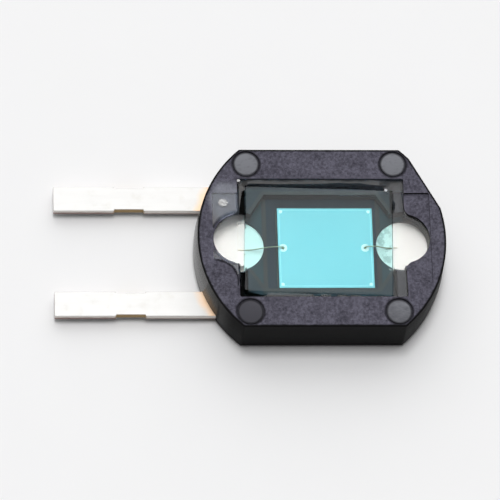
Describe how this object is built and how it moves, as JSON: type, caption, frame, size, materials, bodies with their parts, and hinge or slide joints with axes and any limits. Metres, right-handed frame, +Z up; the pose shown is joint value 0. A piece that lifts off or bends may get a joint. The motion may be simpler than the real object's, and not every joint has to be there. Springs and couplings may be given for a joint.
{
  "type": "photodiode",
  "caption": "Photodiode in a flat black moulded package: stamped leads on one side, a silicon die under a blue-green filter plate, potted in clear resin, with an index corner.",
  "frame": {"origin": "middle of the base of the moulded body, under the middle of the window", "axes": "+Z up out of the window, the leads point to -X, the flats face +Y and -Y, the index corner is at +X +Y"},
  "size_m": [0.0115, 0.0056, 0.0015],
  "materials": {
    "black_moulding": "fine matt mould texture, mineral filled",
    "plated_lead": "bright plated copper alloy, bare copper on sheared edges",
    "die_adhesive": "cured adhesive",
    "coated_silicon": "polished silicon with a blue-green antireflection coat and a metal border",
    "bond_gold": "drawn gold wire",
    "filter_glass": "polished blue-green filter glass",
    "clear_resin": "clear glossy potting resin"
  },
  "bodies": {
    "root": {"package_body": "black_moulding", "cathode_lead": "plated_lead", "anode_lead": "plated_lead", "die_attach": "die_adhesive", "photodiode_die": "coated_silicon", "cathode_wire": "bond_gold", "anode_wire": "bond_gold", "filter_plate": "filter_glass", "potting_resin": "clear_resin"}
  },
  "joints": []
}
